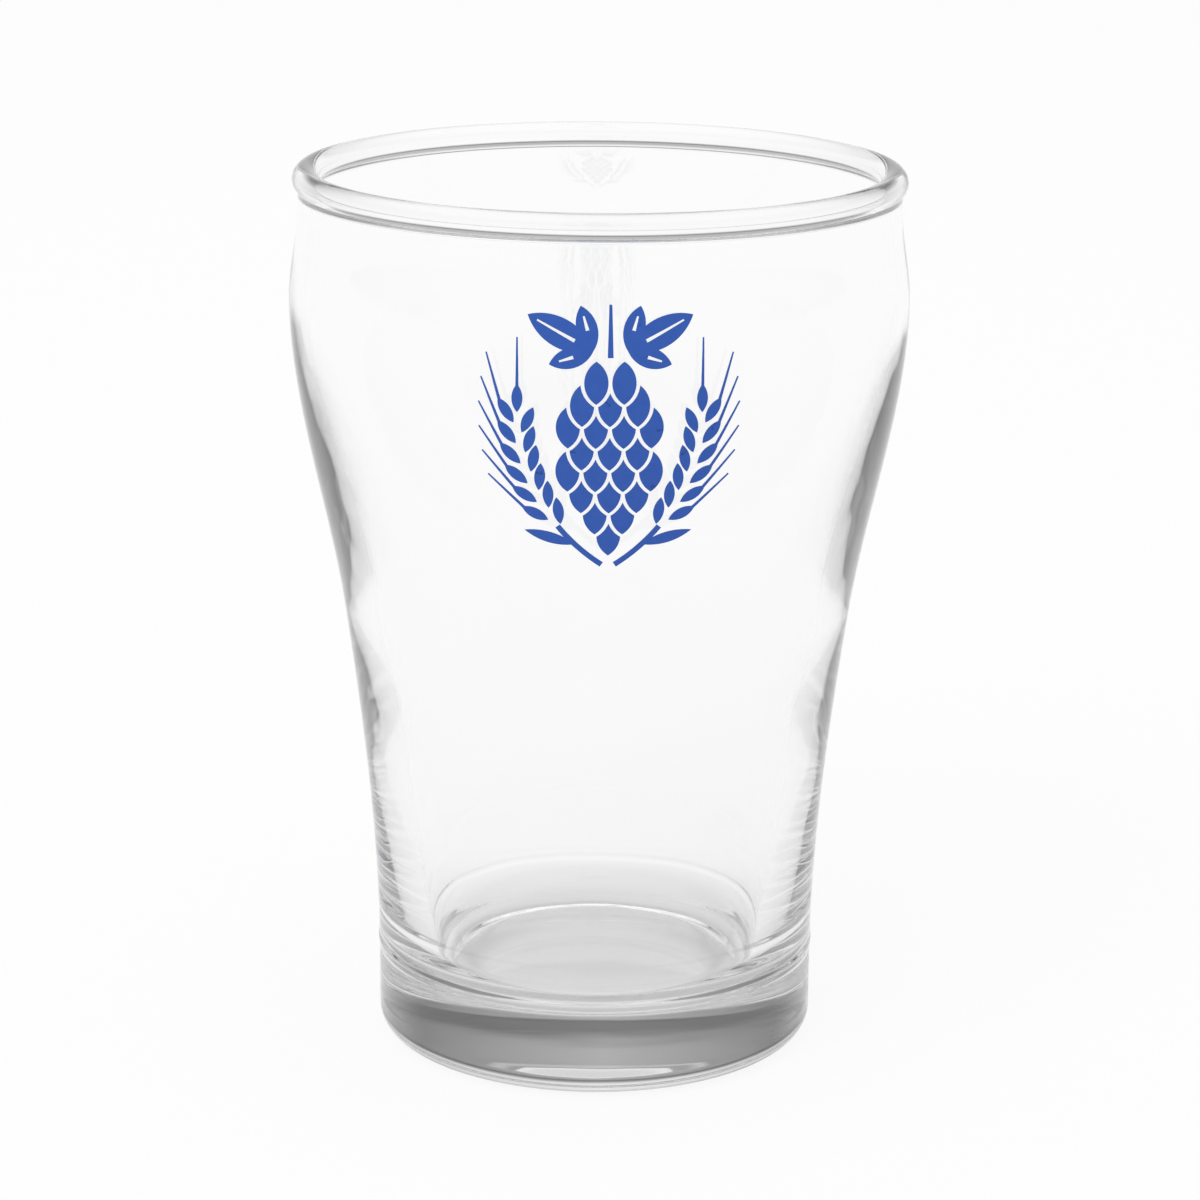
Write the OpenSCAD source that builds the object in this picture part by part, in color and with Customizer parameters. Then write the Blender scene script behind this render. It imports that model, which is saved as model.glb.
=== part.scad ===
// Beer tasting glass: a small clear tumbler with a thick base, a well-rounded floor corner, a wall
// that thins as it tapers out, a full belly and a beaded rim, and an emblem of hops and barley on it.
// It stands on z = 0 with its axis on Z, and the emblem faces -Y. Lengths are in millimetres.

/* [Outside] */
// Height of the glass, from table to rim
glass_h = 92; // [88:0.5:100]
// Diameter of the foot
foot_d = 45.7; // [43:0.1:49]
// Height of the straight foot
foot_h = 8; // [5:0.5:12]
// Radius of the rounded heel
heel_r = 2.5; // [0.6:0.1:3]
// Height where the slow taper opens into the flare
flare_h = 46.5; // [43:0.5:54]
// Diameter where the flare starts
flare_d = 52.4; // [50:0.1:55]
// Radius gained per millimetre of height where the flare starts
flare_lean = 0.143; // [0.1:0.001:0.19]
// Height of the widest part of the belly
belly_h = 78.5; // [74:0.5:82]
// Diameter of the belly
belly_d = 63.1; // [61:0.1:66]

/* [Rim] */
// Outside diameter of the rim bead
bead_d = 62.2; // [61:0.1:64]
// Thickness of the rim bead
bead_t = 2.7; // [2.2:0.1:3.2]
// Angle below its middle at which the bead meets the neck
neck_angle = 50; // [35:1:65]
// Radius gained per millimetre of height where the neck meets the bead
neck_lean = 0.09; // [-0.1:0.01:0.2]

/* [Inside] */
// Thickness of the base under the floor
floor_t = 7.1; // [6:0.1:8.5]
// Radius of the corner between the floor and the wall
floor_corner_r = 5.2; // [2:0.1:6.5]
// Wall thickness at the top of the foot, where the straight taper inside would reach it
base_wall = 5.5; // [5:0.1:6.5]
// Wall thickness at the crease, where the straight taper inside opens out
crease_wall = 3.7; // [3:0.1:4.2]
// Height of the crease
crease_h = 33.1; // [30:0.1:37]
// Height over which the crease is rounded, above it and below it
crease_round = 3.8; // [1:0.1:6]
// Radius gained per millimetre of height inside, just above the crease
crease_lean = 0.177; // [0.15:0.001:0.25]
// Wall thickness where the flare starts
flare_wall = 3; // [2.2:0.1:3.4]
// Wall thickness lost per millimetre of height there
flare_thinning = 0.007; // [0:0.001:0.05]
// Wall thickness from the belly to the rim
rim_wall = 1.3; // [1:0.1:1.8]

/* [Underside] */
// Diameter of the shallow hollow that leaves a ring to stand on
punt_d = 30; // [22:0.5:36]
// Depth of that hollow
punt_depth = 0.2; // [0.1:0.05:0.8]

/* [Mould line] */
// Height of the fine ridge left where the base mould meets the wall mould
ridge_h = 10; // [7:0.1:14]
// Width of the ridge
ridge_w = 0.7; // [0.4:0.1:1.2]
// How far the ridge stands out
ridge_rise = 0.12; // [0.05:0.01:0.3]

/* [Print] */
// Depth of the emblem's middle below the rim
emblem_drop = 21; // [19:0.5:25]
// Thickness of the fired enamel
enamel_t = 0.06; // [0.04:0.01:0.2]
// Bare line between neighbouring patches of enamel
enamel_gap = 0.35; // [0.25:0.05:0.6]

/* [Hop] */
// Rows of bracts at the full width of the cone
cone_full_rows = 4; // [2:2:4]
// Width of a bract
bract_w = 2.3; // [1.8:0.1:2.5]
// Length of a bract
bract_l = 4.2; // [3.8:0.1:4.3]
// Height between rows of bracts
bract_pitch = 2.2; // [2.15:0.05:2.4]
// Height of the cone's top above the emblem's middle
cone_top = 7.2; // [6.4:0.1:7.6]
// Length of the middle lobe of a leaf
leaf_l = 7; // [6:0.1:7.6]
// Width of the middle lobe of a leaf
leaf_w = 2.8; // [2.4:0.1:3.2]
// Length of a side lobe of a leaf
lobe_l = 4.4; // [4:0.1:5]
// Width of a side lobe of a leaf
lobe_w = 2; // [1.6:0.1:2.2]
// Angle between a side lobe and the middle lobe
lobe_angle = 46; // [40:1:50]
// Angle of the middle lobe above level
leaf_angle = 28; // [24:1:32]
// Length of the stalk above the cone
stalk_l = 5; // [4:0.1:5.6]

/* [Barley] */
// Radius of the curve that an ear and its straw follow
ear_bend_r = 18.5; // [18:0.1:20]
// Distance of the ear's tip from the emblem's middle line
ear_tip_x = 8.8; // [8.6:0.1:9.4]
// Height of the ear's tip above the emblem's middle
ear_tip_y = 2; // [1:0.1:2.6]
// Pairs of kernels in an ear
kernel_pairs = 6; // [4:1:6]
// Length of a kernel
kernel_l = 2.8; // [2.4:0.1:3]
// Width of a kernel
kernel_w = 1.05; // [0.9:0.05:1.15]
// Distance along the ear between pairs of kernels
kernel_pitch = 2.05; // [1.95:0.05:2.2]
// Angle at which a kernel leans out from the ear
kernel_lean = 29; // [27:1:33]
// Length of an awn
awn_l = 4.8; // [3:0.1:5.2]
// Angle at which an awn leans out from the ear
awn_lean = 12; // [10:1:14]
// Width of an awn where it leaves its kernel
awn_w = 0.3; // [0.2:0.05:0.35]
// Width of a straw or stalk
straw_w = 0.55; // [0.4:0.05:0.7]
// Length of the blade on a straw
blade_l = 5; // [4:0.1:5.5]
// Width of the blade on a straw
blade_w = 1.1; // [0.8:0.1:1.3]

/* [Hidden] */
$fn = 96;
glass_tint = [0.86, 0.93, 0.94, 0.35];
enamel_blue = [0.18, 0.36, 0.70];

// Height of the bands that stand for a curved wall, and angle of those that stand for a rounded edge
band_h = 1.6;
band_angle = 10;

foot_r = foot_d / 2;
belly_r = belly_d / 2;
bead_r = bead_t / 2;
bead_mid_r = bead_d / 2 - bead_r;
bead_mid_h = glass_h - bead_r;
neck_r = bead_mid_r + bead_r * cos(neck_angle);
neck_h = bead_mid_h - bead_r * sin(neck_angle);
emblem_h = glass_h - emblem_drop;

// Angle below its middle at which the inside wall meets the bead
throat_angle = acos(min(1, (bead_mid_r - neck_r + rim_wall) / bead_r));
throat_h = bead_mid_h - bead_r * sin(throat_angle);

// Cubic through two points with a given slope at each
function blend(z, z0, v0, m0, z1, v1, m1) =
    let (h = z1 - z0, t = (z - z0) / h, t2 = t * t, t3 = t2 * t)
    (2 * t3 - 3 * t2 + 1) * v0 + (t3 - 2 * t2 + t) * h * m0
    + (3 * t2 - 2 * t3) * v1 + (t3 - t2) * h * m1;

// Radius of the outside of the wall at a height
function outside(z) =
    z <= foot_h ? foot_r
    : z <= flare_h ? blend(z, foot_h, foot_r, 0, flare_h, flare_d / 2, flare_lean)
    : z <= belly_h ? blend(z, flare_h, flare_d / 2, flare_lean, belly_h, belly_r, 0)
    : blend(z, belly_h, belly_r, 0, neck_h, neck_r, neck_lean);

// Radius gained per millimetre of height by the outside of the wall
function outside_lean(z, reach = 0.01) = (outside(z + reach) - outside(z - reach)) / (2 * reach);

// The straight taper inside the lower wall: its lean, and its radius carried down to the table
cone_lean = (outside(crease_h) - crease_wall - foot_r + base_wall) / (crease_h - foot_h);
cone_r = foot_r - base_wall - cone_lean * foot_h;

// Thickness of the wall at a height above the crease
function upper_wall(z) =
    z <= flare_h ? blend(z, crease_h, crease_wall, outside_lean(crease_h) - crease_lean,
                         flare_h, flare_wall, -flare_thinning)
    : z <= belly_h ? blend(z, flare_h, flare_wall, -flare_thinning, belly_h, rim_wall, 0)
    : rim_wall;

// Radius of the inside of the wall at a height
function lower_inside(z) = cone_r + cone_lean * z;
function upper_inside(z) = outside(z) - upper_wall(z);
function upper_lean(z, reach = 0.01) = (upper_inside(z + reach) - upper_inside(z - reach)) / (2 * reach);
function inside(z) =
    let (low = crease_h - crease_round, high = crease_h + crease_round)
    z <= low ? lower_inside(z)
    : z >= high ? upper_inside(z)
    : blend(z, low, lower_inside(low), cone_lean, high, upper_inside(high), upper_lean(high));

// Middle of the rounded corner, which lies its own radius from the taper and from the floor
corner_angle = atan(cone_lean);
corner_mid_h = floor_t + floor_corner_r;
corner_mid_r = lower_inside(corner_mid_h) - floor_corner_r / cos(corner_angle);

// Even heights above one level, up to and including another
function levels(z0, z1) =
    let (n = max(1, round((z1 - z0) / band_h)))
    [for (i = [1 : n]) z0 + (z1 - z0) * i / n];

// Points on an arc after its start, up to and including its end
function arc(centre, r, a0, a1) =
    let (n = ceil(abs(a1 - a0) / band_angle))
    [for (i = [1 : n]) let (a = a0 + (a1 - a0) * i / n) centre + r * [cos(a), sin(a)]];

// Heights of the bands of the wall, outside
wall_levels = concat(
    [foot_h],
    levels(foot_h, flare_h),
    levels(flare_h, belly_h),
    levels(belly_h, neck_h)
);

// The outside of the wall, with the mould ridge let into it
function outside_points() =
    let (low = ridge_h - ridge_w / 2, high = ridge_h + ridge_w / 2)
    concat(
        [for (z = wall_levels) if (z < ridge_h - ridge_w) [outside(z), z]],
        [[outside(low), low], [outside(ridge_h) + ridge_rise, ridge_h], [outside(high), high]],
        [for (z = wall_levels) if (z > ridge_h + ridge_w && z < neck_h) [outside(z), z]]
    );

// The inside of the wall, from the rim down to the floor corner
function inside_points() =
    let (
        corner_h = corner_mid_h - floor_corner_r * sin(corner_angle),
        up = concat([corner_h], levels(corner_h, crease_h), levels(crease_h, throat_h))
    )
    [for (i = [len(up) - 2 : -1 : 0]) [inside(up[i]), up[i]]];

// The hollow under the base, from its middle out to the ring that the glass stands on
function punt_points() =
    let (rim = punt_d / 2, r = (rim * rim + punt_depth * punt_depth) / (2 * punt_depth))
    [for (x = concat([0], levels(0, rim))) [x, punt_depth - r + sqrt(r * r - x * x)]];

// The half section of the glass, round from the middle of its underside to the middle of its floor
module glass_section() {
    bead_mid = [bead_mid_r, bead_mid_h];
    polygon(concat(
        punt_points(),
        [[foot_r - heel_r, 0]],
        arc([foot_r - heel_r, heel_r], heel_r, -90, 0),
        outside_points(),
        [[neck_r, neck_h]],
        arc(bead_mid, bead_r, -neck_angle, 90),
        arc(bead_mid, bead_r, 90, 180 + throat_angle),
        inside_points(),
        arc([corner_mid_r, corner_mid_h], floor_corner_r, -corner_angle, -90),
        [[0, floor_t]]
    ));
}

module glass_body() {
    color(glass_tint)
    rotate_extrude()
    glass_section();
}

// Skin of enamel over the flare and the belly, in the same bands as the glass
module enamel_skin() {
    skin = [for (z = wall_levels) if (z >= flare_h && z < neck_h) [outside(z), z]];
    n = len(skin);
    rotate_extrude()
    polygon(concat(skin, [for (i = [n - 1 : -1 : 0]) skin[i] + [enamel_t, 0]]));
}

// Flat artwork laid on the front of the glass
module printed() {
    color(enamel_blue)
    intersection() {
        enamel_skin();
        translate([0, 0, emblem_h])
        rotate([90, 0, 0])
        linear_extrude(belly_d)
        children();
    }
}

// Pointed oval that stands on the origin
module almond(l, w) {
    r = (l * l + w * w) / (4 * w);
    intersection() {
        translate([r - w / 2, l / 2]) circle(r);
        translate([w / 2 - r, l / 2]) circle(r);
    }
}

// Line that narrows to half its width at its tip
module tapered_line(l, w) {
    polygon([[-w / 2, 0], [w / 2, 0], [w / 4, l], [-w / 4, l]]);
}

// Bracts in a row of the hop cone: two at the top, then four and three in turn, then down to one
function bracts(row) =
    row < 2 ? row + 2 : row < cone_full_rows + 2 ? 4 - row % 2 : cone_full_rows + 4 - row;

// One row of bracts, drawn larger by a margin all round
module bract_row(row, margin) {
    count = bracts(row);
    tip_y = cone_top - row * bract_pitch - bract_l;
    for (i = [0 : count - 1])
        translate([(i - (count - 1) / 2) * (bract_w + enamel_gap), tip_y - margin])
        almond(bract_l + 2 * margin, bract_w + 2 * margin);
}

module print_hop_cone() {
    printed()
    for (row = [0 : cone_full_rows + 3])
        difference() {
            bract_row(row, 0);
            if (row > 0) bract_row(row - 1, enamel_gap);
        }
}

// Three-lobed leaf that points along Y, with a bare rib in each lobe
module hop_leaf() {
    lobes = [[0, leaf_l, leaf_w], [-lobe_angle, lobe_l, lobe_w], [lobe_angle, lobe_l, lobe_w]];
    difference() {
        for (lobe = lobes)
            rotate(lobe[0]) almond(lobe[1], lobe[2]);
        for (lobe = lobes)
            rotate(lobe[0]) translate([0, lobe_w]) tapered_line(lobe[1] - 1.5 * lobe_w, enamel_gap);
    }
}

module print_hop_leaves() {
    printed() {
        for (side = [-1, 1])
            translate([side * (straw_w / 2 + enamel_gap + lobe_w / 2), cone_top + lobe_w / 2])
            rotate(-side * (90 - leaf_angle))
            hop_leaf();
        translate([0, cone_top + enamel_gap]) tapered_line(stalk_l, straw_w);
    }
}

// Puts a shape on the curve of the ear, a given way below its tip, with Y along the ear
module on_ear(below) {
    a = -below / ear_bend_r * 180 / PI;
    translate([ear_tip_x - ear_bend_r, ear_tip_y] + ear_bend_r * [cos(a), sin(a)])
    rotate(a)
    children();
}

// Kernel that leans out by an angle
module kernel(lean) {
    rotate(-lean) almond(kernel_l, kernel_w);
}

// Awn on a kernel that leans out by an angle, bent back towards the line of the ear
module awn(lean) {
    rotate(-lean)
    translate([0, kernel_l - awn_w])
    rotate(lean > 0 ? lean - awn_lean : 0)
    tapered_line(awn_l, awn_w);
}

// Straw under the ear, a stretch of the same curve, with one blade
module straw() {
    ear_l = kernel_pairs * kernel_pitch;
    top = -ear_l / ear_bend_r * 180 / PI;
    foot = -acos((ear_bend_r - ear_tip_x + straw_w / 2 + enamel_gap) / ear_bend_r);
    reach = 2 * ear_bend_r;
    translate([ear_tip_x - ear_bend_r, ear_tip_y])
    intersection() {
        difference() {
            circle(ear_bend_r + straw_w / 2);
            circle(ear_bend_r - straw_w / 2);
        }
        polygon([[0, 0], reach * [cos(foot), sin(foot)], reach * [cos(top), sin(top)]]);
    }
    on_ear(ear_l + blade_l / 2) rotate(-kernel_lean) almond(blade_l, blade_w);
}

// Ear of barley on the right of the emblem
module barley() {
    for (i = [1 : kernel_pairs]) {
        on_ear(i * kernel_pitch) translate([-kernel_w / 3, 0]) kernel(-kernel_lean);
        on_ear((i - 0.5) * kernel_pitch) translate([kernel_w / 3, 0]) {
            kernel(kernel_lean);
            awn(kernel_lean);
        }
    }
    on_ear(0) {
        kernel(0);
        awn(0);
    }
    straw();
}

module print_barley_left() {
    printed() mirror([1, 0]) barley();
}

module print_barley_right() {
    printed() barley();
}

glass_body();
print_hop_cone();
print_hop_leaves();
print_barley_left();
print_barley_right();
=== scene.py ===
import math

import bmesh
import bpy
import numpy as np
from mathutils import Matrix, Vector


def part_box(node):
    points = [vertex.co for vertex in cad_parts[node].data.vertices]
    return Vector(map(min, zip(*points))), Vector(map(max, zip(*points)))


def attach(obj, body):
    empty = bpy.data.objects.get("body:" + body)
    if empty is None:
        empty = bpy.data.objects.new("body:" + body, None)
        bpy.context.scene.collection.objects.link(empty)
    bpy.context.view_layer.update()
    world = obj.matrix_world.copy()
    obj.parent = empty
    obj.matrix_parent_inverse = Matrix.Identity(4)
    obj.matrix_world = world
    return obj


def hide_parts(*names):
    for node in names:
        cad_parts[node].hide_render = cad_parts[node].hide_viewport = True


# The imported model, and its box
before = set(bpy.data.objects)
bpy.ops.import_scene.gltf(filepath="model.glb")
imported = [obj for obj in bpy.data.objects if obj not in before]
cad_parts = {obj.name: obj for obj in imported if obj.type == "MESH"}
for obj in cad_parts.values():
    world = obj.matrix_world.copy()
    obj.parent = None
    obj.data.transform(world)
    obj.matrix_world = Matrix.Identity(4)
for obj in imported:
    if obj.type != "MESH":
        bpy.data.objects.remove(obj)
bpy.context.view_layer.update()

# One millimetre in the scene's metres. The sizes of the glass below are in millimetres.
MM = 0.001

# Overall sizes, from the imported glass
_, glass_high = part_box("glass_body")
GLASS_H = glass_high.z / MM
BELLY_R = glass_high.x / MM

# Outside of the glass
FOOT_R = 22.85
FOOT_H = 8.0
HEEL_R = 2.5
FLARE_H = 46.5
FLARE_R = 26.2
FLARE_LEAN = 0.143
BELLY_H = 78.5
RIM_R = 31.1
BEAD_R = 1.35
BEAD_MID_R = RIM_R - BEAD_R
BEAD_MID_H = GLASS_H - BEAD_R
NECK_ANGLE = math.radians(50)
NECK_LEAN = 0.09
NECK_R = BEAD_MID_R + BEAD_R * math.cos(NECK_ANGLE)
NECK_H = BEAD_MID_H - BEAD_R * math.sin(NECK_ANGLE)

# Inside of the glass
FLOOR_T = 7.1
CORNER_R = 5.2
BASE_WALL = 5.5
CREASE_H = 33.1
CREASE_WALL = 3.7
CREASE_LEAN = 0.177
CREASE_ROUND = 3.8
FLARE_WALL = 3.0
FLARE_THINNING = -0.007
RIM_WALL = 1.3

# Hollow under the base, and the fine ridge of the mould line with the steps across half of it
PUNT_R = 15.0
PUNT_DEPTH = 0.2
RIDGE_H = 10.0
RIDGE_W = 0.7
RIDGE_RISE = 0.12
RIDGE_STEPS = 5

# Clear glass: its refraction, its faint grey and how strongly it tells per metre, its roughest polish,
# and the height of its waves, from the mould and the fire polish. A grain here and below is given as
# features per metre and how many finer layers it has.
GLASS_IOR = 1.52
GLASS_TINT = (0.88, 0.88, 0.88, 1)
GLASS_DENSITY = 42.0
GLASS_ROUGHEST = 0.03
POLISH_GRAIN = (700, 3)
WAVE_H = 0.05
WAVE_GRAIN = (70, 2)

# Enamel: how far it stands out of the glass, how far it is let in, its longest facet and how often its
# edges are halved towards it, the turn at which an edge stays sharp, and the gap that welds two points
ENAMEL_PROUD = 0.06
ENAMEL_SUNK = 0.02
ENAMEL_FACET = 0.5
ENAMEL_HALVINGS = 3
ENAMEL_SHARP = math.radians(40)
ENAMEL_WELD = 0.001

# Enamel's finish: its two blues and their mottling, its satin range of roughness, its gloss, and the
# tooth of its surface
ENAMEL_DEEP = (0.024, 0.086, 0.385, 1)
ENAMEL_BRIGHT = (0.034, 0.106, 0.430, 1)
MOTTLE_GRAIN = (900, 4)
ENAMEL_SMOOTH = 0.28
ENAMEL_ROUGH = 0.46
SATIN_GRAIN = (2500, 3)
ENAMEL_GLOSS = 0.2
TOOTH_STRENGTH = 0.15
TOOTH_H = 0.02
TOOTH_GRAIN = (4000, 2)

# Fineness of the glass: spacing of its rings along the wall and across the base, turn between the
# rings of a rounded edge, and points in a ring
WALL_STEP = 0.5
BASE_STEP = 0.8
ARC_STEP = math.radians(7.5)
RING_POINTS = 216

# The camera: its distance in front of the axis, height and downward pitch, its turn round the glass,
# the small turns that level and centre the picture, its focal length as a share of the frame, the
# frame's width, and the nearest distance that it sees, in metres
CAMERA_BACK = 391.1
CAMERA_H = 153.0
CAMERA_PITCH = 15.253
CAMERA_TURN = 2.0
CAMERA_YAW = 0.043
CAMERA_ROLL = 0.438
FOCAL_SHARE = 3.246
SENSOR_W = 36.0
CAMERA_NEAR = 0.01

# The table: its share of plain white where it is seen directly, where it is seen in the glass, in the
# painted shade under the foot, and in the paler painted middle of that shade under the thin floor (both
# set by distance from the axis and shown only in the glass), how far from the axis the last two reach,
# its paint, its half width in metres, and the hair's breadth that it lies below the foot
TABLE_WHITE = 0.9
TABLE_WHITE_IN_GLASS = 0.88
TABLE_WHITE_PAINTED_SHADE = 0.4
TABLE_WHITE_PAINTED_MIDDLE = 0.66
PAINTED_SHADE_R = 44.0
PAINTED_MIDDLE_R = 12.0
TABLE_PAINT = (0.9, 0.9, 0.9, 1)
TABLE_HALF = 10.0
TABLE_DROP = 0.02

# The lamp: its place and size in metres, and its power in watts
KEY_PLACE = (-0.5, -0.7, 0.9)
KEY_SIZE = 0.7
KEY_POWER = 4.0

# How many times light is followed through the glass
LIGHT_BOUNCES = 48

# The studio from low to high: a pale sweep, the dark seam where it ends, a grey wall and a white ceiling,
# each with the elevations, in degrees, between which it has its full level
ZENITH = 90
STUDIO_SWEEP = (0, 12)
STUDIO_SEAM = (18.5, 19.5)
STUDIO_WALL = (22, 30)
STUDIO_CEILING = (52, ZENITH)

# Levels of light of those four parts, for bearings counted in degrees from straight behind the glass to
# either side
STUDIO_LIGHT = {
    0: (1.0, 0.2, 0.5, 1.0),
    45: (0.7, 0.1, 0.2, 1.1),
    130: (0.95, 0.6, 0.5, 1.2),
}


def blend(z, z0, v0, m0, z1, v1, m1):
    """Cubic through two points with a given slope at each."""
    h = z1 - z0
    t = (z - z0) / h
    return (
        (2 * t**3 - 3 * t**2 + 1) * v0
        + (t**3 - 2 * t**2 + t) * h * m0
        + (3 * t**2 - 2 * t**3) * v1
        + (t**3 - t**2) * h * m1
    )


def slope(radius, z, reach=0.01):
    """Radius gained per millimetre of height."""
    return (radius(z + reach) - radius(z - reach)) / (2 * reach)


def outside(z):
    """Radius of the outside of the wall at a height."""
    if z <= FOOT_H:
        return FOOT_R
    if z <= FLARE_H:
        return blend(z, FOOT_H, FOOT_R, 0, FLARE_H, FLARE_R, FLARE_LEAN)
    if z <= BELLY_H:
        return blend(z, FLARE_H, FLARE_R, FLARE_LEAN, BELLY_H, BELLY_R, 0)
    return blend(z, BELLY_H, BELLY_R, 0, NECK_H, NECK_R, NECK_LEAN)


# The inside of the lower wall is a straight cone: its radius at the table's height, and its lean
cone_foot = outside(FOOT_H) - BASE_WALL
cone_head = outside(CREASE_H) - CREASE_WALL
CONE_LEAN = (cone_head - cone_foot) / (CREASE_H - FOOT_H)
CONE_R0 = cone_foot - CONE_LEAN * FOOT_H


def lower_inside(z):
    """Radius of the inside of the wall at a height below the crease."""
    return CONE_R0 + CONE_LEAN * z


def upper_inside(z):
    """Radius of the inside of the wall at a height above the crease."""
    if z <= FLARE_H:
        thinning = slope(outside, CREASE_H) - CREASE_LEAN
        wall = blend(z, CREASE_H, CREASE_WALL, thinning, FLARE_H, FLARE_WALL, FLARE_THINNING)
    elif z <= BELLY_H:
        wall = blend(z, FLARE_H, FLARE_WALL, FLARE_THINNING, BELLY_H, RIM_WALL, 0)
    else:
        wall = RIM_WALL
    return outside(z) - wall


def inside(z):
    """Radius of the inside of the wall at a height."""
    low = CREASE_H - CREASE_ROUND
    high = CREASE_H + CREASE_ROUND
    if z <= low:
        return lower_inside(z)
    if z >= high:
        return upper_inside(z)
    lean_above = slope(upper_inside, high)
    return blend(z, low, lower_inside(low), CONE_LEAN, high, upper_inside(high), lean_above)


def ridge(z):
    """How far the mould ridge stands out of the wall at a height."""
    u = (z - RIDGE_H) / RIDGE_W
    return RIDGE_RISE * (1 - u * u) ** 2 if abs(u) < 1 else 0.0


def levels(start, end, step):
    """Even steps after a start, up to and including an end."""
    n = max(1, round(abs(end - start) / step))
    return [start + (end - start) * i / n for i in range(1, n + 1)]


def arc(centre, radius, start, end):
    """Points on an arc after its start, up to and including its end."""
    turns = levels(start, end, ARC_STEP)
    return [(centre[0] + radius * math.cos(a), centre[1] + radius * math.sin(a)) for a in turns]


def underside():
    """Section of the underside, from the axis out to the heel."""
    dome = (PUNT_R**2 + PUNT_DEPTH**2) / (2 * PUNT_DEPTH)
    hollow = [0.0] + levels(0, PUNT_R, BASE_STEP)
    points = [(r, PUNT_DEPTH - dome + math.sqrt(dome**2 - r**2)) for r in hollow]
    return points + [(r, 0.0) for r in levels(PUNT_R, FOOT_R - HEEL_R, BASE_STEP)]


def outer_wall():
    """Section of the outside, from the heel up to the rim bead."""
    heel = arc((FOOT_R - HEEL_R, HEEL_R), HEEL_R, -math.pi / 2, 0)
    heights = levels(HEEL_R, RIDGE_H - RIDGE_W, WALL_STEP)
    heights += levels(RIDGE_H - RIDGE_W, RIDGE_H + RIDGE_W, RIDGE_W / RIDGE_STEPS)
    heights += levels(RIDGE_H + RIDGE_W, NECK_H, WALL_STEP)
    return heel + [(outside(z) + ridge(z), z) for z in heights]


def rim_bead():
    """Section of the rim bead, from the neck over the top to the inside of the wall."""
    throat = math.acos((BEAD_MID_R - NECK_R + RIM_WALL) / BEAD_R)
    return arc((BEAD_MID_R, BEAD_MID_H), BEAD_R, -NECK_ANGLE, math.pi + throat)


def inner_wall():
    """Section of the inside, from the rim bead down to the middle of the floor."""
    wall_turn = math.atan(CONE_LEAN)
    bend_h = FLOOR_T + CORNER_R
    bend_r = lower_inside(bend_h) - CORNER_R / math.cos(wall_turn)
    throat_h = rim_bead()[-1][1]
    wall_foot = bend_h - CORNER_R * math.sin(wall_turn)
    wall = [(inside(z), z) for z in levels(throat_h, wall_foot, WALL_STEP)]
    bend = arc((bend_r, bend_h), CORNER_R, -wall_turn, -math.pi / 2)
    return wall + bend + [(r, FLOOR_T) for r in levels(bend_r, 0, BASE_STEP)]


def add_piece(name, mesh):
    """New object in the scene for a mesh."""
    piece = bpy.data.objects.new(name, mesh)
    bpy.context.scene.collection.objects.link(piece)
    return piece


def revolve(name, section):
    """Closed body made by turning a half section that starts and ends on the axis."""
    points = np.array(section) * MM
    rings = points[1:-1]
    turn = 2 * math.pi * np.arange(RING_POINTS) / RING_POINTS
    x = np.outer(rings[:, 0], np.sin(turn))
    y = np.outer(rings[:, 0], -np.cos(turn))
    z = np.repeat(rings[:, 1:], RING_POINTS, axis=1)
    first = [[0, 0, points[0, 1]]]
    last = [[0, 0, points[-1, 1]]]
    verts = np.concatenate([first, np.stack([x, y, z], axis=2).reshape(-1, 3), last])

    here = np.arange(RING_POINTS)
    ahead = (here + 1) % RING_POINTS
    ring_start = 1 + RING_POINTS * np.arange(len(rings) - 1)[:, None]
    next_start = ring_start + RING_POINTS
    corners = [ring_start + here, ring_start + ahead, next_start + ahead, next_start + here]
    quads = np.stack(corners, axis=2)
    last_start = 1 + RING_POINTS * (len(rings) - 1)
    last_vert = np.full_like(here, len(verts) - 1)
    first_fan = np.stack([np.zeros_like(here), 1 + ahead, 1 + here], axis=1)
    last_fan = np.stack([last_start + here, last_start + ahead, last_vert], axis=1)
    faces = first_fan.tolist() + quads.reshape(-1, 4).tolist() + last_fan.tolist()

    mesh = bpy.data.meshes.new(name)
    mesh.from_pydata(verts.tolist(), [], faces)
    mesh.shade_smooth()
    return add_piece(name, mesh)


def wrapped_print(name, node):
    """Enamel with the outline of a packed print, laid smoothly on the curve of the glass."""
    bm = bmesh.new()
    bm.from_mesh(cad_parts[node].data)
    bmesh.ops.remove_doubles(bm, verts=bm.verts, dist=ENAMEL_WELD * MM)
    for _ in range(ENAMEL_HALVINGS):
        long_edges = [e for e in bm.edges if e.calc_length() > ENAMEL_FACET * MM]
        bmesh.ops.subdivide_edges(bm, edges=long_edges, cuts=1)
        bmesh.ops.triangulate(bm, faces=[f for f in bm.faces if len(f.verts) > 3])
    for v in bm.verts:
        r = math.hypot(v.co.x, v.co.y) / MM
        wall = outside(v.co.z / MM)
        seat = wall + ENAMEL_PROUD if r > wall + ENAMEL_PROUD / 2 else wall - ENAMEL_SUNK
        v.co.x *= seat / r
        v.co.y *= seat / r
    bmesh.ops.recalc_face_normals(bm, faces=bm.faces)
    for f in bm.faces:
        f.smooth = True
    for e in bm.edges:
        e.smooth = e.calc_face_angle(0) < ENAMEL_SHARP
    mesh = bpy.data.meshes.new(name)
    bm.to_mesh(mesh)
    bm.free()
    return add_piece(name, mesh)


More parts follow.
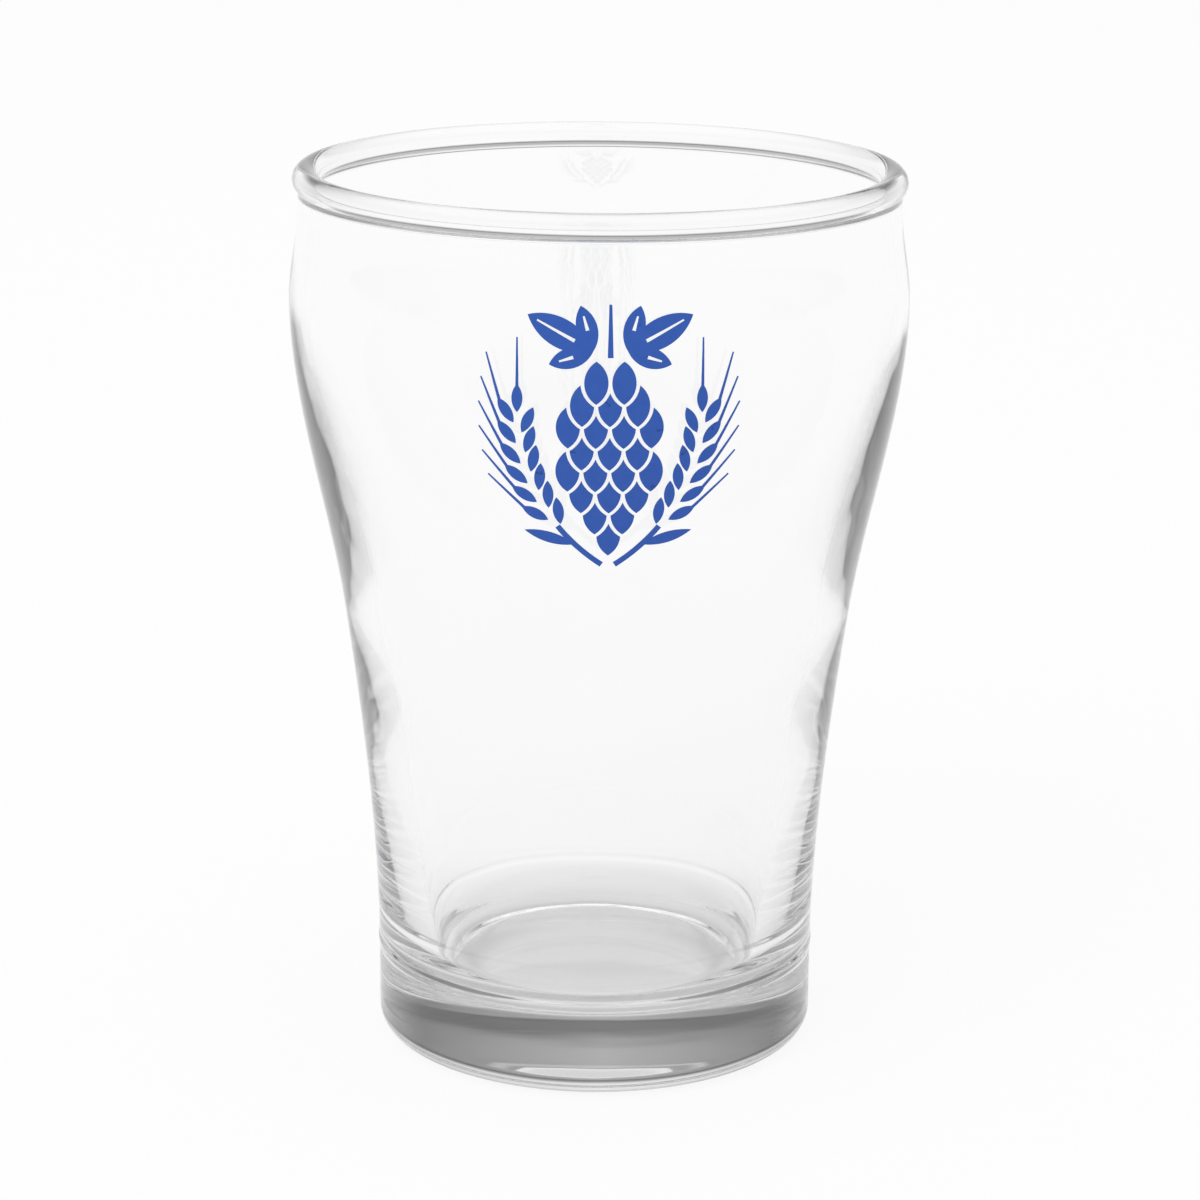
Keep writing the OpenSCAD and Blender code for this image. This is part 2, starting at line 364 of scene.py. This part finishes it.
class Nodes:
    """A material's or world's node tree, with short calls to add and link nodes."""

    def __init__(self, tree):
        self.tree = tree
        tree.nodes.clear()

    def add(self, kind, **settings):
        node = self.tree.nodes.new(kind)
        for key, value in settings.items():
            setattr(node, key, value)
        return node

    def link(self, source, target):
        self.tree.links.new(source, target)

    def value(self, source, low, high, from_low=0.0, from_high=1.0):
        """A number between low and high that follows a source."""
        ranged = self.add("ShaderNodeMapRange")
        self.link(source, ranged.inputs["Value"])
        ranged.inputs["From Min"].default_value = from_low
        ranged.inputs["From Max"].default_value = from_high
        ranged.inputs["To Min"].default_value = low
        ranged.inputs["To Max"].default_value = high
        return ranged.outputs["Result"]

    def ramp(self, source, stops):
        """A grey that follows a source, given as pairs of a position and a level."""
        ramp = self.add("ShaderNodeValToRGB")
        elements = ramp.color_ramp.elements
        elements.remove(elements[1])
        for i, (position, level) in enumerate(stops):
            stop = elements[0] if i == 0 else elements.new(position)
            stop.position = position
            stop.color = (level, level, level, 1)
        self.link(source, ramp.inputs["Fac"])
        return ramp.outputs["Color"]

    def noise(self, scale, detail):
        """Noise over the object, with features of about 1 / scale metres."""
        place = self.add("ShaderNodeTexCoord")
        noise = self.add("ShaderNodeTexNoise")
        self.link(place.outputs["Object"], noise.inputs["Vector"])
        noise.inputs["Scale"].default_value = scale
        noise.inputs["Detail"].default_value = detail
        return noise.outputs["Fac"]

    def bump(self, height, strength, distance):
        """A surface normal that follows a height."""
        bump = self.add("ShaderNodeBump")
        bump.inputs["Strength"].default_value = strength
        bump.inputs["Distance"].default_value = distance
        self.link(height, bump.inputs["Height"])
        return bump.outputs["Normal"]


def new_material(name):
    """Material with an empty node tree."""
    material = bpy.data.materials.new(name)
    material.use_nodes = True
    return material, Nodes(material.node_tree)


def clear_glass():
    """Soda-lime glass: almost without colour, with the faint waves of a pressed wall."""
    material, nodes = new_material("clear_glass")
    shader = nodes.add("ShaderNodeBsdfPrincipled")
    shader.inputs["Base Color"].default_value = (1, 1, 1, 1)
    shader.inputs["IOR"].default_value = GLASS_IOR
    shader.inputs["Transmission Weight"].default_value = 1.0
    polish = nodes.value(nodes.noise(*POLISH_GRAIN), 0.0, GLASS_ROUGHEST)
    nodes.link(polish, shader.inputs["Roughness"])
    waves = nodes.bump(nodes.noise(*WAVE_GRAIN), 1.0, WAVE_H * MM)
    nodes.link(waves, shader.inputs["Normal"])
    absorption = nodes.add("ShaderNodeVolumeAbsorption")
    absorption.inputs["Color"].default_value = GLASS_TINT
    absorption.inputs["Density"].default_value = GLASS_DENSITY
    output = nodes.add("ShaderNodeOutputMaterial")
    nodes.link(shader.outputs["BSDF"], output.inputs["Surface"])
    nodes.link(absorption.outputs["Volume"], output.inputs["Volume"])
    return material


def blue_enamel():
    """Royal blue enamel, fired on: a satin gloss with faint mottling from the screen."""
    material, nodes = new_material("blue_enamel")
    shader = nodes.add("ShaderNodeBsdfPrincipled")
    mix = nodes.add("ShaderNodeMix", data_type="RGBA")
    mix.inputs["A"].default_value = ENAMEL_DEEP
    mix.inputs["B"].default_value = ENAMEL_BRIGHT
    nodes.link(nodes.noise(*MOTTLE_GRAIN), mix.inputs["Factor"])
    nodes.link(mix.outputs["Result"], shader.inputs["Base Color"])
    satin = nodes.value(nodes.noise(*SATIN_GRAIN), ENAMEL_SMOOTH, ENAMEL_ROUGH)
    nodes.link(satin, shader.inputs["Roughness"])
    shader.inputs["Specular IOR Level"].default_value = ENAMEL_GLOSS
    tooth = nodes.bump(nodes.noise(*TOOTH_GRAIN), TOOTH_STRENGTH, TOOTH_H * MM)
    nodes.link(tooth, shader.inputs["Normal"])
    output = nodes.add("ShaderNodeOutputMaterial")
    nodes.link(shader.outputs["BSDF"], output.inputs["Surface"])
    return material


def pale_floor():
    """White table with a soft shadow. In the glass it shows a painted shade under the foot, set by
    distance from the axis rather than by light.
    """
    material, nodes = new_material("pale_floor")
    matte = nodes.add("ShaderNodeBsdfDiffuse")
    matte.inputs["Color"].default_value = TABLE_PAINT
    white = nodes.add("ShaderNodeEmission")
    white.inputs["Color"].default_value = (1, 1, 1, 1)
    path = nodes.add("ShaderNodeLightPath")
    in_glass = nodes.add("ShaderNodeMath", operation="MAXIMUM")
    nodes.link(path.outputs["Is Glossy Ray"], in_glass.inputs[0])
    nodes.link(path.outputs["Is Transmission Ray"], in_glass.inputs[1])
    place = nodes.add("ShaderNodeTexCoord")
    reach = nodes.add("ShaderNodeVectorMath", operation="LENGTH")
    nodes.link(place.outputs["Object"], reach.inputs[0])
    # Painted shade: in the glass the table's white share falls towards the foot by distance from the
    # axis, not by light
    painted_shade = nodes.value(
        reach.outputs["Value"], TABLE_WHITE_PAINTED_SHADE, TABLE_WHITE_IN_GLASS, FOOT_R * MM, PAINTED_SHADE_R * MM
    )
    # Painted shade: a paler middle of that shade under the thin floor
    paler_painted_middle = TABLE_WHITE_PAINTED_MIDDLE - TABLE_WHITE_PAINTED_SHADE
    middle = nodes.value(reach.outputs["Value"], paler_painted_middle, 0.0, PAINTED_MIDDLE_R * MM, PUNT_R * MM)
    painted_shade_share = nodes.add("ShaderNodeMath", operation="ADD")
    nodes.link(painted_shade, painted_shade_share.inputs[0])
    nodes.link(middle, painted_shade_share.inputs[1])
    glass_share = nodes.add("ShaderNodeMath", operation="MULTIPLY")
    nodes.link(in_glass.outputs["Value"], glass_share.inputs[0])
    nodes.link(painted_shade_share.outputs["Value"], glass_share.inputs[1])
    share = nodes.add("ShaderNodeMath", operation="MAXIMUM")
    nodes.link(nodes.value(path.outputs["Is Camera Ray"], 0.0, TABLE_WHITE), share.inputs[0])
    nodes.link(glass_share.outputs["Value"], share.inputs[1])
    mix = nodes.add("ShaderNodeMixShader")
    nodes.link(share.outputs["Value"], mix.inputs["Fac"])
    nodes.link(matte.outputs["BSDF"], mix.inputs[1])
    nodes.link(white.outputs["Emission"], mix.inputs[2])
    output = nodes.add("ShaderNodeOutputMaterial")
    nodes.link(mix.outputs["Shader"], output.inputs["Surface"])
    return material


def add_floor():
    """Wide table that the glass stands on."""
    corners = [(-1, -1), (1, -1), (1, 1), (-1, 1)]
    verts = [(x * TABLE_HALF, y * TABLE_HALF, -TABLE_DROP * MM) for x, y in corners]
    mesh = bpy.data.meshes.new("floor")
    mesh.from_pydata(verts, [], [(0, 1, 2, 3)])
    floor = add_piece("floor", mesh)
    floor.data.materials.append(pale_floor())


def add_world():
    """Studio round the glass, with its light levels blended from bearing to bearing."""
    world = bpy.data.worlds.new("studio")
    world.use_nodes = True
    bpy.context.scene.world = world
    nodes = Nodes(world.node_tree)
    place = nodes.add("ShaderNodeTexCoord")
    axes = nodes.add("ShaderNodeSeparateXYZ")
    nodes.link(place.outputs["Generated"], axes.inputs["Vector"])
    lift = nodes.add("ShaderNodeMath", operation="ARCSINE")
    nodes.link(axes.outputs["Z"], lift.inputs[0])
    elevation = nodes.value(lift.outputs["Value"], 0.0, 1.0, 0.0, math.pi / 2)
    turn = nodes.add("ShaderNodeMath", operation="ARCTAN2")
    nodes.link(axes.outputs["X"], turn.inputs[0])
    nodes.link(axes.outputs["Y"], turn.inputs[1])
    bearing = nodes.add("ShaderNodeMath", operation="ABSOLUTE")
    nodes.link(turn.outputs["Value"], bearing.inputs[0])

    light = None
    last = 0
    for degrees, levels_here in STUDIO_LIGHT.items():
        parts = zip((STUDIO_SWEEP, STUDIO_SEAM, STUDIO_WALL, STUDIO_CEILING), levels_here)
        stops = [(degree / ZENITH, level) for part, level in parts for degree in part]
        ramp = nodes.ramp(elevation, stops)
        if light is None:
            light = ramp
        else:
            start = math.radians(last)
            end = math.radians(degrees)
            share = nodes.value(bearing.outputs["Value"], 0.0, 1.0, start, end)
            mix = nodes.add("ShaderNodeMix", data_type="RGBA")
            nodes.link(share, mix.inputs["Factor"])
            nodes.link(light, mix.inputs["A"])
            nodes.link(ramp, mix.inputs["B"])
            light = mix.outputs["Result"]
        last = degrees
    background = nodes.add("ShaderNodeBackground")
    nodes.link(light, background.inputs["Color"])
    output = nodes.add("ShaderNodeOutputWorld")
    nodes.link(background.outputs["Background"], output.inputs["Surface"])


def add_softbox(name, place, size, power):
    """Square lamp that faces the middle of the glass, and that the glass doesn't show."""
    lamp = bpy.data.lights.new(name, "AREA")
    lamp.size = size
    lamp.energy = power
    softbox = bpy.data.objects.new(name, lamp)
    bpy.context.scene.collection.objects.link(softbox)
    softbox.location = place
    aim = Vector((0, 0, GLASS_H / 2 * MM)) - softbox.location
    softbox.rotation_euler = aim.to_track_quat("-Z", "Y").to_euler()
    softbox.visible_glossy = False
    softbox.visible_transmission = False


def add_camera():
    """Camera at the photo's view."""
    camera = bpy.data.cameras.new("camera")
    camera.sensor_width = SENSOR_W
    camera.lens = FOCAL_SHARE * SENSOR_W
    camera.clip_start = CAMERA_NEAR
    seat = bpy.data.objects.new("camera", camera)
    bpy.context.scene.collection.objects.link(seat)
    seat.matrix_world = (
        Matrix.Rotation(math.radians(-CAMERA_TURN), 4, "Z")
        @ Matrix.Translation((0, -CAMERA_BACK * MM, CAMERA_H * MM))
        @ Matrix.Rotation(math.radians(-CAMERA_YAW), 4, "Z")
        @ Matrix.Rotation(math.radians(90 - CAMERA_PITCH), 4, "X")
        @ Matrix.Rotation(math.radians(CAMERA_ROLL), 4, "Z")
    )
    bpy.context.scene.camera = seat


def dress(piece, node, material):
    """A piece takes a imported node's place, with its material."""
    piece.data.materials.append(material)
    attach(piece, "root")
    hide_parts(node)


add_camera()
add_floor()
add_world()
add_softbox("key", KEY_PLACE, KEY_SIZE, KEY_POWER)

glass = revolve("clear_glass_body", underside() + outer_wall() + rim_bead() + inner_wall())
dress(glass, "glass_body", clear_glass())
enamel = blue_enamel()
for node in ["print_hop_cone", "print_hop_leaves", "print_barley_left", "print_barley_right"]:
    name = node.replace("print_", "enamel_")
    dress(wrapped_print(name, node), node, enamel)

scene = bpy.context.scene
scene.view_settings.view_transform = "Standard"
scene.cycles.max_bounces = LIGHT_BOUNCES
scene.cycles.glossy_bounces = LIGHT_BOUNCES
scene.cycles.transmission_bounces = LIGHT_BOUNCES
scene.cycles.use_denoising = True
